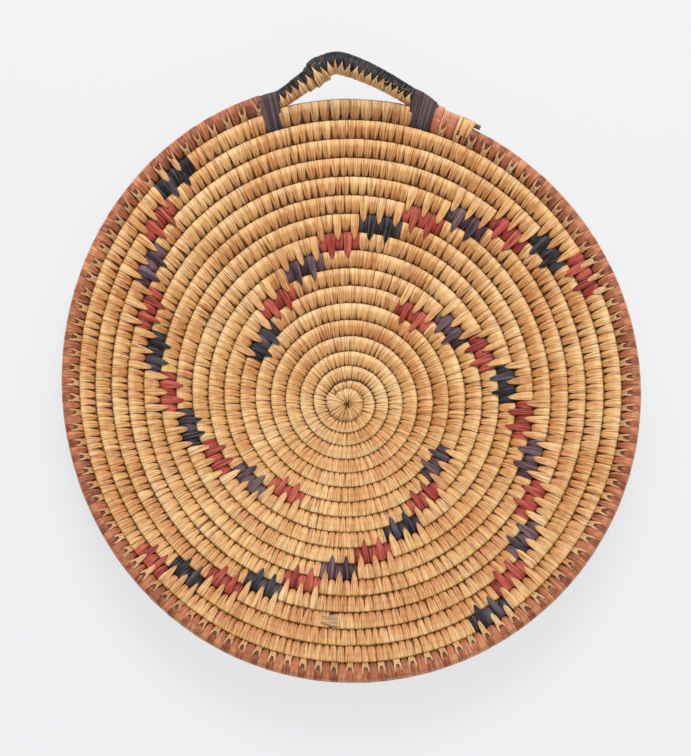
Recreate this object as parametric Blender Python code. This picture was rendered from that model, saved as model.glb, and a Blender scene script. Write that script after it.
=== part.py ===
# A coiled grass tray. One bundle of grass winds clockwise from a button in the middle out to the
# rim, is sewn to itself row by row with flat strands of split grass, and its own end rises as the
# handle. Dyed strands make four arms of coloured blocks. Metres, +Z up, +Y towards the handle,
# the origin where the middle of the coil rests on the table.
import bisect
import math

import bmesh
import bpy
from mathutils import Vector

# Winding of the coil, counted in clockwise turns from the +X axis
START_RADIUS = 0.0106
FIRST_PITCH = 0.0059
ROW_PITCH = 0.0082
EASE_TURNS = 3.5
FIRST_TURN = -0.4
RIM_TURN = 16
RIM_END = 16.703
ROW_GAP = 0.0006

# Handmade unevenness, as shares of the radius. All but LEAN_Y grow from nothing in the middle
LEAN_X = 0.0244
LEAN_Y = 0.0508
TALLER = 0.0217
SKEW = -0.0087
CORNERS = 0.0038

# Dish: a flat base, then sides that rise to the rim
BASE_RADIUS = 0.030
RIM_RADIUS = 0.140
DISH_DEPTH = 0.022
RISE_POWER = 1.3

# Bundle and sewing
WRAP_THICKNESS = 0.0004
BUNDLE_CLEARANCE = 0.0003
STITCH_GAP = 0.0003
ROWS_PER_PIECE = 2
BREAK_MARGIN = 0.003

# Coloured blocks: how far each reaches past the start of the next, and for each arm where its
# outermost block starts, counter-clockwise from +X, and the lengths of its first and last block
BLOCK_LAP = 1.07
ARMS = {
    "upper": (382.6, 0.0212, 0.0203, "red black red purple red black red purple red black"),
    "left": (123.5, 0.0214, 0.0180, "black red purple red black red black red purple red"),
    "bottom": (216.7, 0.0173, 0.0182, "red black red black red purple red black red purple"),
    "right": (297.7, 0.0197, 0.0191, "black red purple red purple red black red purple red"),
}

# Mended stitches, in turns along the coil
MEND_MIDDLE = 13.261
MEND_LENGTH = 0.0055

# Handle: its bindings, in degrees counter-clockwise from +X, and its limbs, which rise to a crown
# left of the middle; the splice is a share of the way along the arch
LEFT_BINDING = 104.8
LEFT_WIDTH = 0.0092
RIGHT_BINDING = 75.5
RIGHT_WIDTH = 0.0120
BINDING_PROUD = 0.0004
ARCH_RISE = 0.0140
CROWN_AT = 0.42
CROWN_ROUND = 0.22
LIMB_POWER = 1.35
LIMB_RADIUS = 0.0048
CROWN_RADIUS = 0.0055
FOOT_RADIUS = 0.0044
SPLICE_AT = 0.31
SPLICE_SHARE = 0.08
SPLICE_SWELL = 0.0007
TAPER_LENGTH = 0.020
TAIL_REACH = 0.021
TAIL_RADIUS = 0.0016
STUB_LENGTH = 0.003

# Button in the middle: a straight side, then a shoulder and a low dome, as shares of its size
BUTTON_SIDE = 0.75
BUTTON_SHOULDER = 0.78
BUTTON_TOP = 0.45
BUTTON_DOME = 0.0008
DIMPLE_RADIUS = 0.0011
DIMPLE_DEPTH = 0.0016

# Steps round one turn, and along the handle
OUTER_STEPS = 24
INNER_STEPS = 12
FINE_FROM = 4.0
HANDLE_STEPS = 18

GRASS = ((0.66, 0.43, 0.17), 0.62)
BUNDLE = ((0.36, 0.23, 0.09), 0.85)
DYES = {
    "red": ((0.42, 0.07, 0.05), 0.60),
    "black": ((0.022, 0.028, 0.036), 0.60),
    "purple": ((0.07, 0.05, 0.085), 0.60),
}
RIM_RED = ((0.44, 0.13, 0.07), 0.58)
BINDING_GREY = ((0.06, 0.05, 0.062), 0.66)
MEND_GREY = ((0.30, 0.25, 0.17), 0.80)

HEX_FLAT = math.cos(math.pi / 6)
SMOOTH_BELOW = math.radians(62)


# Clear the scene and set up small helpers

for old in list(bpy.data.objects):
    bpy.data.objects.remove(old, do_unlink=True)


def material(name, finish):
    colour, roughness = finish
    made = bpy.data.materials.get(name)
    if made is None:
        made = bpy.data.materials.new(name)
        made.use_nodes = True
        shader = made.node_tree.nodes["Principled BSDF"]
        shader.inputs["Base Color"].default_value = (*colour, 1.0)
        shader.inputs["Roughness"].default_value = roughness
        shader.inputs["Metallic"].default_value = 0.0
        made.diffuse_color = (*colour, 1.0)
    return made


def finish_object(name, bm, finish_name, finish):
    mesh = bpy.data.meshes.new(name)
    bm.to_mesh(mesh)
    bm.free()
    mesh.shade_smooth()
    mesh.set_sharp_from_angle(angle=SMOOTH_BELOW)
    mesh.materials.append(material(finish_name, finish))
    made = bpy.data.objects.new(name, mesh)
    bpy.context.scene.collection.objects.link(made)
    return made


# The path of the coil


def turn_angle(turn):
    return -2 * math.pi * turn


def uneven(radius, angle):
    # The handmade radius at an angle, where an evenly wound coil would have the given radius
    lean = LEAN_X * math.cos(angle) * radius / RIM_RADIUS + LEAN_Y * math.sin(angle)
    oval = SKEW * math.sin(2 * angle) - TALLER * math.cos(2 * angle) + CORNERS * math.cos(3 * angle)
    return radius / (1 - lean - oval * radius / RIM_RADIUS)


def even_radius(turn):
    eased = (ROW_PITCH - FIRST_PITCH) * EASE_TURNS * (1 - math.exp(-turn / EASE_TURNS))
    return START_RADIUS + ROW_PITCH * turn - eased


def row_radius(turn):
    return uneven(even_radius(turn), turn_angle(turn))


def lift(radius):
    share = max(0.0, (radius - BASE_RADIUS) / (RIM_RADIUS - BASE_RADIUS))
    return DISH_DEPTH * share ** RISE_POWER


def slope(radius):
    reach = RIM_RADIUS - BASE_RADIUS
    share = max(0.0, (radius - BASE_RADIUS) / reach)
    return math.atan(DISH_DEPTH * RISE_POWER * share ** (RISE_POWER - 1) / reach)


def coil_size(turn):
    angle = turn_angle(turn)
    growth = uneven(even_radius(turn + 0.5), angle) - uneven(even_radius(turn - 0.5), angle)
    pitch = growth / math.cos(slope(row_radius(turn)))
    steps = OUTER_STEPS if turn >= FINE_FROM else INNER_STEPS
    return (pitch * math.cos(math.pi / steps) - ROW_GAP) / 2


def coil_station(turn):
    # Middle, outward direction, upward direction and radius of the sewn coil at one turn
    if turn < 0:
        full = coil_size(0)
        size = ((2 * full + ROW_GAP) * (1 + turn) - ROW_GAP) / 2
        inside = (row_radius(0) - full) * uneven(START_RADIUS, turn_angle(turn)) / row_radius(0)
        radius = inside + size
    else:
        size = coil_size(turn)
        radius = row_radius(turn)
    angle = turn_angle(turn)
    tilt = slope(radius)
    middle = Vector((radius * math.cos(angle), radius * math.sin(angle), 0))
    middle.z = size * (HEX_FLAT * math.cos(tilt) + math.sin(tilt) / 2) + lift(radius)
    out = Vector((math.cos(angle) * math.cos(tilt), math.sin(angle) * math.cos(tilt), math.sin(tilt)))
    rise = Vector((-math.cos(angle) * math.sin(tilt), -math.sin(angle) * math.sin(tilt), math.cos(tilt)))
    return middle, out, rise, size


def turn_at(degrees, near):
    # The turn at a polar angle that lies nearest to the given turn
    turn = -degrees / 360
    return turn + round(near - turn)


def turns_across(length, turn):
    return length / (2 * math.pi * row_radius(turn))


HALF_LEFT = turns_across(LEFT_WIDTH, RIM_END) / 2
HALF_RIGHT = turns_across(RIGHT_WIDTH, RIM_END) / 2
LEFT_FOOT = turn_at(LEFT_BINDING, RIM_END)
RIGHT_FOOT = turn_at(RIGHT_BINDING, RIM_END)
RIM_STOP = LEFT_FOOT - HALF_LEFT
ARCH_START = LEFT_FOOT + HALF_LEFT
ARCH_STOP = RIGHT_FOOT - HALF_RIGHT
TAIL_START = RIGHT_FOOT + HALF_RIGHT
TAIL_STOP = TAIL_START + turns_across(TAIL_REACH, RIM_END)
COIL_STOP = TAIL_STOP + turns_across(STUB_LENGTH, RIM_END)
GAP_ROW_START = RIM_STOP - 1
RIM_START = TAIL_START - 1


def blend(low, high, share):
    share = min(1.0, max(0.0, share))
    return low + (high - low) * share * share * (3 - 2 * share)


def handle_size(turn):
    # The limb, the thicker crown spliced over its end, and the taper to the tail
    along = (turn - ARCH_START) / (ARCH_STOP - ARCH_START)
    limb = blend(coil_size(RIM_STOP), LIMB_RADIUS, along / (SPLICE_AT - SPLICE_SHARE))
    size = blend(limb, CROWN_RADIUS, (along - SPLICE_AT + SPLICE_SHARE) / SPLICE_SHARE)
    size += SPLICE_SWELL * max(0.0, 1 - abs(along - SPLICE_AT) / SPLICE_SHARE)
    size = blend(size, FOOT_RADIUS, (along - CROWN_AT) / (1 - CROWN_AT))
    return blend(size, TAIL_RADIUS, (turn - ARCH_STOP) / turns_across(TAPER_LENGTH, RIM_END))


def arch(along):
    # How far the handle stands off the row inside it: two limbs that meet in a rounded crown
    along = min(1.0, max(0.0, along))
    left = (along / CROWN_AT) ** LIMB_POWER
    right = (1 - along) / (1 - CROWN_AT)
    round_off = math.hypot(left - right, CROWN_ROUND) - abs(left - right)
    return ARCH_RISE * max(0.0, min(left, right) - round_off / 2)


def handle_station(turn):
    # The handle lies on the row inside it, and its arch lifts it clear between the two bindings
    middle, out, rise, size = coil_station(turn - 1)
    along = (turn - ARCH_START) / (ARCH_STOP - ARCH_START)
    own = handle_size(turn)
    away = size + ROW_GAP + own + arch(along)
    step = 1 / HANDLE_STEPS
    run = 2 * math.pi * row_radius(turn) * (ARCH_STOP - ARCH_START) * 2 * step
    lean = math.atan((arch(along + step) - arch(along - step)) / run)
    forward = out.cross(rise)
    side = out * math.cos(lean) - forward * math.sin(lean)
    return middle + out * away, side, rise, own


def spaced(first, last, steps):
    return [first + (last - first) * k / steps for k in range(steps)]


def master_turns():
    # Every turn where the coil has a corner; its pieces are straight from one to the next
    inner = [k / INNER_STEPS for k in range(-INNER_STEPS, int(FINE_FROM * INNER_STEPS))]
    count = int((RIM_STOP - FINE_FROM) * OUTER_STEPS) + 1
    outer = [FINE_FROM + k / OUTER_STEPS for k in range(count)]
    rim = [turn for turn in inner + outer if FIRST_TURN < turn < RIM_STOP - 0.2 / OUTER_STEPS]
    feet = [RIM_STOP, ARCH_START]
    arch = spaced(ARCH_START, ARCH_STOP, HANDLE_STEPS)[1:]
    tail = [ARCH_STOP, TAIL_START] + spaced(TAIL_START, TAIL_STOP, 4)[1:] + [TAIL_STOP, COIL_STOP]
    return [FIRST_TURN] + rim + feet + arch + tail


MASTER = master_turns()
STATIONS = [handle_station(turn) if turn >= RIM_STOP else coil_station(turn) for turn in MASTER]


# Outlines of the pieces across the coil, outward then upward, drawn counter-clockwise


def bore_radius(size):
    return size * HEX_FLAT - WRAP_THICKNESS


def polygon(radius, sides):
    corners = [2 * math.pi * k / sides for k in range(sides)]
    return [(radius * math.cos(corner), radius * math.sin(corner)) for corner in corners]


def wrap_outline(size):
    return polygon(size, 6)


def bore_outline(size):
    return polygon(bore_radius(size), 4)


def bundle_outline(size):
    return polygon(bore_radius(size) - BUNDLE_CLEARANCE * math.sqrt(2), 4)


def outer_half_outline(size):
    flat = size * HEX_FLAT
    edge = STITCH_GAP / 2
    bore = bore_radius(size)
    return [(edge, -flat), (size / 2, -flat), (size, 0), (size / 2, flat), (edge, flat),
            (edge, bore - edge), (bore, 0), (edge, edge - bore)]


def inner_half_outline(size):
    return [(-across, -up) for across, up in outer_half_outline(size)]


def slide(start, stop, distance):
    # A point moved along the line from start towards stop
    length = math.dist(start, stop)
    return tuple(s + (e - s) * distance / length for s, e in zip(start, stop))


def strip_edge(size):
    # Where the strip's lower side meets the bore, in line with the wrap's lower inner corner
    reach = bore_radius(size) * math.cos(math.pi / 4) / math.cos(math.pi / 12)
    return (reach * math.cos(4 * math.pi / 3), reach * math.sin(4 * math.pi / 3))


def block_outline(size):
    # Round the coil except for its inner lower side, where the straw strand runs on under the dye
    outer = wrap_outline(size)
    bore = bore_outline(size)
    edge = STITCH_GAP * math.sqrt(2)
    return [slide(outer[4], outer[5], edge), outer[5], outer[0], outer[1], outer[2],
            slide(outer[3], outer[2], edge), slide(bore[2], bore[1], edge), bore[1], bore[0],
            bore[3], slide(strip_edge(size), bore[3], edge)]


# Rings of points along the coil, and the solids lofted through them


def ring(turn, outline):
    index = min(bisect.bisect_right(MASTER, turn), len(MASTER) - 1) - 1
    share = (turn - MASTER[index]) / (MASTER[index + 1] - MASTER[index])
    ends = []
    for middle, out, rise, size in STATIONS[index:index + 2]:
        ends.append([middle + out * across + rise * up for across, up in outline(size)])
    return [first.lerp(last, share) for first, last in zip(*ends)]


def corners_between(first, last):
    return [turn for turn in MASTER if first + 1e-6 < turn < last - 1e-6]


def stations(first, last):
    return [first] + corners_between(first, last) + [last]


def add_wall(bm, rings, inward=False):
    rows = [[bm.verts.new(point) for point in points] for points in rings]
    for near, far in zip(rows, rows[1:]):
        for k in range(len(near)):
            nxt = (k + 1) % len(near)
            face = [near[k], near[nxt], far[nxt], far[k]]
            bm.faces.new(face[::-1] if inward else face)
    return rows


def end_faces(outer, inner):
    # Triangles zipped round the ring-shaped end of a hollow piece
    i = j = 0
    faces = []
    while i < len(outer) or j < len(inner):
        if (i + 1) / len(outer) <= (j + 1) / len(inner):
            faces.append((outer[i], outer[(i + 1) % len(outer)], inner[j % len(inner)]))
            i += 1
        else:
            faces.append((inner[(j + 1) % len(inner)], inner[j], outer[i % len(outer)]))
            j += 1
    return faces


def add_faces(bm, faces, forward):
    for face in faces:
        bm.faces.new(face if forward else face[::-1])


def add_solid(bm, turns, outline):
    rows = add_wall(bm, [ring(turn, outline) for turn in turns])
    bm.faces.new(rows[0][::-1])
    bm.faces.new(rows[-1])


def add_sleeve(bm, turns, outer_ring, inner_ring):
    outer = add_wall(bm, [outer_ring(turn) for turn in turns])
    inner = add_wall(bm, [inner_ring(turn) for turn in turns], inward=True)
    add_faces(bm, end_faces(outer[0], inner[0]), forward=False)
    add_faces(bm, end_faces(outer[-1], inner[-1]), forward=True)


# Grass bundle that runs unbroken through the whole coil


def build_bundle():
    bm = bmesh.new()
    add_solid(bm, stations(FIRST_TURN, COIL_STOP), bundle_outline)
    finish_object("grass_bundle", bm, "grass_bundle", BUNDLE)
    gaps = []
    for turn in MASTER:
        if FIRST_TURN + 1 < turn < RIM_STOP:
            middle, _, _, size = coil_station(turn)
            inner, _, _, inner_size = coil_station(turn - 1)
            thick = bore_radius(size) + bore_radius(inner_size) - 2 * BUNDLE_CLEARANCE
            gaps.append((middle - inner).length - thick)
    print("bundle: least gap between turns %.2f mm" % (min(gaps) * 1000))


# Button that the coil starts round


def button_edge(turn):
    middle, _, _, size = coil_station(turn)
    return math.hypot(middle.x, middle.y) - size - ROW_GAP


def build_button():
    bm = bmesh.new()
    turns = [FIRST_TURN + k / OUTER_STEPS for k in range(OUTER_STEPS)] + [FIRST_TURN + 0.999]
    height = 2 * coil_size(0) * HEX_FLAT
    levels = [(1.0, 0.0), (1.0, height * BUTTON_SIDE), (BUTTON_SHOULDER, height),
              (BUTTON_TOP, height + BUTTON_DOME)]
    rows = []
    for share, z in levels:
        loop = []
        for turn in turns:
            angle = turn_angle(turn)
            radius = button_edge(turn) * share
            loop.append(bm.verts.new((radius * math.cos(angle), radius * math.sin(angle), z)))
        rows.append(loop)
    for radius, z in ((DIMPLE_RADIUS, height), (DIMPLE_RADIUS * 0.4, height - DIMPLE_DEPTH)):
        loop = []
        for turn in turns:
            angle = turn_angle(turn)
            loop.append(bm.verts.new((radius * math.cos(angle), radius * math.sin(angle), z)))
        rows.append(loop)
    for low, high in zip(rows, rows[1:]):
        for k in range(len(low)):
            nxt = (k + 1) % len(low)
            bm.faces.new([low[nxt], low[k], high[k], high[nxt]])
    bm.faces.new(rows[0])
    bm.faces.new(rows[-1][::-1])
    finish_object("centre_button", bm, "split_grass", GRASS)


# Coloured blocks sewn into the rows, and the one mended place


def block_places():
    # (arm, colour, first turn, last turn); the rows below the rim lie a turn further in each time
    places = []
    for arm, (start, first_length, last_length, colours) in ARMS.items():
        names = colours.split()
        angle = start
        for k, colour in enumerate(names):
            length = first_length + (last_length - first_length) * k / (len(names) - 1)
            turn = RIM_TURN - k - angle / 360
            width = turns_across(length, turn)
            places.append((arm, colour, turn - width, turn))
            angle += 360 * width / BLOCK_LAP
    return places


BLOCKS = block_places()
MEND_HALF = turns_across(MEND_LENGTH, MEND_MIDDLE) / 2
MEND = (MEND_MIDDLE - MEND_HALF, MEND_MIDDLE + MEND_HALF)


def end_gap(turn):
    return turns_across(STITCH_GAP, turn) / 2


def add_block(name, finish_name, finish, first, last):
    bm = bmesh.new()
    add_solid(bm, stations(first + end_gap(first), last - end_gap(last)), block_outline)
    finish_object(name, bm, finish_name, finish)


def build_blocks():
    number = {}
    for arm, colour, first, last in BLOCKS:
        number[arm] = number.get(arm, 0) + 1
        name = "%s_arm_block_%02d_%s" % (arm, number[arm], colour)
        add_block(name, colour + "_grass", DYES[colour], first, last)
    add_block("mended_stitches", "mended_grass", MEND_GREY, *MEND)


# Straw sewing. It is one strand after another, so a piece of it covers two rows; under a block
# it narrows to the strip that is carried along the inside of the coil

COVERED = sorted([(first, last) for _, _, first, last in BLOCKS] + [MEND])


def clear_of_blocks(turn):
    for first, last in COVERED:
        margin = turns_across(BREAK_MARGIN, turn)
        if first - margin < turn < last + margin:
            return last + margin
    return turn


def sewing_stretches(first, last):
    # (start, stop, covered by a block) along the coil
    stretches = []
    at = first
    for start, stop in COVERED:
        if first < start and stop < last:
            stretches.append((at, start - end_gap(start), False))
            stretches.append((start - end_gap(start), stop + end_gap(stop), True))
            at = stop + end_gap(stop)
    return stretches + [(at, last, False)]


def ring_corners(bm, turn, outline):
    return [bm.verts.new(point) for point in ring(turn, outline)]


def strip_outline(size):
    outer = wrap_outline(size)
    return [outer[3], outer[4], strip_edge(size), bore_outline(size)[2]]


class Section:
    # The corners of the sewing across the coil at one turn; edge is there only beside a block
    def __init__(self, bm, turn, beside_block):
        self.outer = ring_corners(bm, turn, wrap_outline)
        self.bore = ring_corners(bm, turn, bore_outline)
        self.edge = []
        if beside_block:
            self.edge = ring_corners(bm, turn, lambda size: [strip_edge(size)])

    def strip(self):
        return [self.outer[3], self.outer[4], self.edge[0], self.bore[2]]

    def shoulder(self):
        outer, bore = self.outer, self.bore
        return [outer[4], outer[5], outer[0], outer[1], outer[2], outer[3],
                bore[2], bore[1], bore[0], bore[3], self.edge[0]]


def join_rings(bm, near, far):
    for k in range(len(near)):
        nxt = (k + 1) % len(near)
        bm.faces.new([near[k], near[nxt], far[nxt], far[k]])


def join_bores(bm, near, far):
    for k in range(4):
        nxt = (k + 1) % 4
        near_edge = near.edge if k == 2 else []
        far_edge = far.edge if k == 2 else []
        bm.faces.new([near.bore[nxt]] + near_edge + [near.bore[k], far.bore[k]] + far_edge + [far.bore[nxt]])


def add_sewing(bm, first, last):
    stretches = sewing_stretches(first, last)
    near = Section(bm, first, False)
    add_faces(bm, end_faces(near.outer, near.bore), forward=False)
    for index, (start, stop, covered) in enumerate(stretches):
        if covered:
            bm.faces.new(near.shoulder())
            strip = near.strip()
            for turn in corners_between(start, stop):
                further = ring_corners(bm, turn, strip_outline)
                join_rings(bm, strip, further)
                strip = further
            near = Section(bm, stop, True)
            join_rings(bm, strip, near.strip())
            bm.faces.new(near.shoulder()[::-1])
        else:
            for turn in corners_between(start, stop) + [stop]:
                far = Section(bm, turn, turn == stop and index + 1 < len(stretches))
                join_rings(bm, near.outer, far.outer)
                join_bores(bm, near, far)
                near = far
    add_faces(bm, end_faces(near.outer, near.bore), forward=True)


def build_sewing():
    breaks = [FIRST_TURN]
    rows = math.ceil(GAP_ROW_START)
    for row in range(ROWS_PER_PIECE, rows, ROWS_PER_PIECE):
        breaks.append(clear_of_blocks(GAP_ROW_START - (rows - row)))
    breaks.append(GAP_ROW_START)
    for piece, (first, last) in enumerate(zip(breaks, breaks[1:])):
        low = piece * ROWS_PER_PIECE + 1
        high = min(rows, low + ROWS_PER_PIECE - 1)
        bm = bmesh.new()
        start = first if piece == 0 else first + end_gap(first)
        add_sewing(bm, start, last - end_gap(last))
        finish_object("straw_stitches_rows_%02d_%02d" % (low, high), bm, "split_grass", GRASS)
    bm = bmesh.new()
    add_sewing(bm, ARCH_START - 1 + end_gap(RIM_END), ARCH_STOP - 1 - end_gap(RIM_END))
    finish_object("straw_stitches_under_handle", bm, "split_grass", GRASS)


# Rim lacing: red over the outside of the coil, straw forks over the inside


def build_rim():
    turns = stations(RIM_START + end_gap(RIM_END), RIM_STOP - end_gap(RIM_END))
    for name, outline, finish_name, finish in (
            ("rim_red_lacing", outer_half_outline, "rim_red_grass", RIM_RED),
            ("rim_straw_forks", inner_half_outline, "split_grass", GRASS)):
        bm = bmesh.new()
        add_solid(bm, turns, outline)
        finish_object(name, bm, finish_name, finish)


# Handle: black over the outside, straw under it, a binding at each foot and a wrapped tail


def build_handle():
    gap = end_gap(RIM_END)
    turns = stations(ARCH_START + gap, ARCH_STOP - gap)
    for name, outline, finish_name, finish in (
            ("handle_black_wrap", outer_half_outline, "black_grass", DYES["black"]),
            ("handle_straw_wrap", inner_half_outline, "split_grass", GRASS)):
        bm = bmesh.new()
        add_solid(bm, turns, outline)
        finish_object(name, bm, finish_name, finish)
    bm = bmesh.new()
    add_sewing(bm, TAIL_START + gap, TAIL_STOP)
    finish_object("tail_wrap", bm, "split_grass", GRASS)


def binding_ring(turn, outer):
    # Round both coils: three corners on the handle's coil and three on the row inside it
    if outer:
        far = ring(turn, lambda size: polygon(size + BINDING_PROUD, 6))
        near = ring(turn - 1, wrap_outline)
        return [far[0], far[1], near[2], near[3], near[4], far[5]]
    far = ring(turn, bore_outline)
    near = ring(turn - 1, bore_outline)
    return [far[0], far[1], near[1], near[2], near[3], far[3]]


def build_binding(name, foot, half):
    gap = end_gap(RIM_END)
    first = foot - half + gap
    last = foot + half - gap
    shared = [turn + 1 for turn in corners_between(first - 1, last - 1)]
    turns = [first] + sorted(shared + corners_between(first, last)) + [last]
    bm = bmesh.new()
    add_sleeve(bm, turns, lambda turn: binding_ring(turn, True), lambda turn: binding_ring(turn, False))
    finish_object(name, bm, "binding_grass", BINDING_GREY)


build_bundle()
build_button()
build_sewing()
build_blocks()
build_rim()
build_handle()
build_binding("left_binding", LEFT_FOOT, HALF_LEFT)
build_binding("right_binding", RIGHT_FOOT, HALF_RIGHT)
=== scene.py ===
import math
import random

import bmesh
import bpy
import numpy as np
from mathutils.geometry import convex_hull_2d
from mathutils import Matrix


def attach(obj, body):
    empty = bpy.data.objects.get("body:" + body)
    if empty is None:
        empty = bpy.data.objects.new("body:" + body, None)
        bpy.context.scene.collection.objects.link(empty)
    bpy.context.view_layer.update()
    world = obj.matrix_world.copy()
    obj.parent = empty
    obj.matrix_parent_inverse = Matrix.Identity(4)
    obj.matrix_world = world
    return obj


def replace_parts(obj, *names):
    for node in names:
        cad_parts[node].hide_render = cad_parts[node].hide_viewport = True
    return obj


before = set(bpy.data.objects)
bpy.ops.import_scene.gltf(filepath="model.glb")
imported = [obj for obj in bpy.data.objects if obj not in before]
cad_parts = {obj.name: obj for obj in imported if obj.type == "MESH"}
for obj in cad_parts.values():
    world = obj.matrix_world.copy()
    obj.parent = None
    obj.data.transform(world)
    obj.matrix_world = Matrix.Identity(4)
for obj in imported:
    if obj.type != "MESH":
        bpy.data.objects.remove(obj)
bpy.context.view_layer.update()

# Grass bundle: the foundation of the tray, one unbroken bundle of grass stems. It winds clockwise
# from the middle out to the rim, row against row, lifts off there as the handle and thins out to a
# stub. It shows brown between the stitches, and every strand is laid at its turn of this coil.

# The rows: how their pitch eases outwards, how their outline leaves a circle, and how the dish rises.
START_RADIUS = 0.0106
FIRST_PITCH = 0.0059
ROW_PITCH = 0.0082
EASE_TURNS = 3.5
FIRST_TURN = -0.4
RIM_END = 16.703
ROW_GAP = 0.0006
LEAN_X, LEAN_Y = 0.0244, 0.0508
TALLER = 0.0217
SKEW = -0.0087
CORNERS = 0.0038
BASE_RADIUS = 0.030
RIM_RADIUS = 0.140
SIDE_RUN = RIM_RADIUS - BASE_RADIUS
DISH_DEPTH = 0.022
RISE_POWER = 1.3
FINE_FROM = 4.0
INNER_STEPS, OUTER_STEPS = 12, 24
HEX_FLAT = math.cos(math.pi / 6)
STRAND = 0.00035

# The handle, between its two bindings: a limb, a thicker crown spliced on it, and the tail.
LEFT_BINDING, LEFT_WIDTH = 104.8, 0.0092
RIGHT_BINDING, RIGHT_WIDTH = 75.5, 0.0120
ARCH_RISE = 0.0140
CROWN_AT = 0.42
CROWN_ROUND = 0.22
LIMB_POWER = 1.35
LIMB_RADIUS = 0.0048
CROWN_RADIUS = 0.0055
FOOT_RADIUS = 0.0044
SPLICE_AT = 0.31
SPLICE_SHARE = 0.08
SPLICE_SWELL = 0.0007
TAPER_LENGTH = 0.020
TAIL_REACH = 0.021
TAIL_RADIUS = 0.0016
STUB_LENGTH = 0.003
HANDLE_STEPS = 18

# The bundle's own mesh, and the ridges and tones of its stems.
BUNDLE_SIDES = 14
BUNDLE_SHARE = 0.93
ROW_STEPS = 56
LOOP_STEPS = 90
MOST_CUTS = 31
FILL_FROM = 0.3
FILL_REACH = 3.5 * STRAND
FILL_HEIGHT = 0.5
BUMP_STRENGTH = 0.8
DARK_STEM, PALE_STEM = (80, 48, 26), (156, 112, 66)
STEM_CONTRAST = (0.35, 0.7)
STEMS_ACROSS, STEMS_ALONG = 40, 30
STEM_RIDGE = 0.0003
SMOOTH_BELOW = math.radians(40)


def even_radius(turn):
    eased = (ROW_PITCH - FIRST_PITCH) * EASE_TURNS * (1 - np.exp(-turn / EASE_TURNS))
    return START_RADIUS + ROW_PITCH * turn - eased


def uneven(radius, turn):
    """The radius of a handmade coil, a little taller than wide and not quite round."""
    angle = -2 * np.pi * turn
    lean = LEAN_X * np.cos(angle) * radius / RIM_RADIUS + LEAN_Y * np.sin(angle)
    oval = SKEW * np.sin(2 * angle) - TALLER * np.cos(2 * angle) + CORNERS * np.cos(3 * angle)
    return radius / (1 - lean - oval * radius / RIM_RADIUS)


def row_radius(turn):
    return uneven(even_radius(turn), turn)


def turns_across(length, turn):
    return length / (2 * np.pi * row_radius(turn))


def up_the_side(radius):
    return np.maximum(0, (radius - BASE_RADIUS) / SIDE_RUN)


def slope(radius):
    return np.arctan(DISH_DEPTH * RISE_POWER * up_the_side(radius) ** (RISE_POWER - 1) / SIDE_RUN)


def row_pitch(turn):
    growth = uneven(even_radius(turn + 0.5), turn) - uneven(even_radius(turn - 0.5), turn)
    return growth / np.cos(slope(row_radius(turn)))


def solid_size(turn):
    steps = np.where(turn >= FINE_FROM, OUTER_STEPS, INNER_STEPS)
    return (row_pitch(turn) * np.cos(np.pi / steps) - ROW_GAP) / 2


def binding_turns(degrees, width):
    """First and last turn of a binding whose middle is at this angle of the tray."""
    middle = -degrees / 360 + round(RIM_END + degrees / 360)
    half = turns_across(width, RIM_END) / 2
    return middle - half, middle + half


RIM_STOP, ARCH_START = binding_turns(LEFT_BINDING, LEFT_WIDTH)
ARCH_STOP, TAIL_START = binding_turns(RIGHT_BINDING, RIGHT_WIDTH)
TAIL_STOP = TAIL_START + turns_across(TAIL_REACH, RIM_END)
COIL_STOP = TAIL_STOP + turns_across(STUB_LENGTH, RIM_END)


def heading(angle, level, upward):
    """A direction towards this angle of the tray, with its level and upward shares."""
    return np.stack([np.cos(angle) * level, np.sin(angle) * level, upward], -1)


def smooth(low, high, share):
    share = np.clip(share, 0, 1)
    return low + (high - low) * share * share * (3 - 2 * share)


def rows(turn):
    """Middle, outward and upward directions, half width and half height of the sewn rows."""
    turn = np.asarray(turn, float)
    full = solid_size(0.0)
    early = ((2 * full + ROW_GAP) * (1 + turn) - ROW_GAP) / 2
    later = np.maximum(turn, 0)
    size = np.where(turn < 0, early, solid_size(later))
    inside = (row_radius(0.0) - full) * uneven(START_RADIUS, turn) / row_radius(0.0)
    radius = np.where(turn < 0, inside + early, row_radius(later))
    angle = -2 * np.pi * turn
    tilt = slope(radius)
    flat = size * HEX_FLAT
    height = flat * np.cos(tilt) + size * np.sin(tilt) / 2 + DISH_DEPTH * up_the_side(radius) ** RISE_POWER
    middle = heading(angle, radius, height)
    out = heading(angle, np.cos(tilt), np.sin(tilt))
    rise = heading(angle, -np.sin(tilt), np.cos(tilt))
    wide = np.where(turn < 0, size + ROW_GAP / 2, row_pitch(later) / 2) - STRAND
    return middle, out, rise, wide, flat - STRAND


def along_arch(turn):
    return (turn - ARCH_START) / (ARCH_STOP - ARCH_START)


def handle_size(turn):
    """The limb, the thicker crown spliced over its end, and the taper to the tail."""
    along = along_arch(turn)
    limb = smooth(solid_size(RIM_STOP), LIMB_RADIUS, along / (SPLICE_AT - SPLICE_SHARE))
    size = smooth(limb, CROWN_RADIUS, (along - SPLICE_AT + SPLICE_SHARE) / SPLICE_SHARE)
    size = size + SPLICE_SWELL * np.maximum(0, 1 - abs(along - SPLICE_AT) / SPLICE_SHARE)
    size = smooth(size, FOOT_RADIUS, (along - CROWN_AT) / (1 - CROWN_AT))
    return smooth(size, TAIL_RADIUS, (turn - ARCH_STOP) / turns_across(TAPER_LENGTH, RIM_END))


def arch(along):
    """How far the handle stands off the row inside it: two limbs that meet in a rounded crown."""
    along = np.clip(along, 0, 1)
    left = (along / CROWN_AT) ** LIMB_POWER
    right = (1 - along) / (1 - CROWN_AT)
    round_off = np.hypot(left - right, CROWN_ROUND) - abs(left - right)
    return ARCH_RISE * np.maximum(0, np.minimum(left, right) - round_off / 2)


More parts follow.
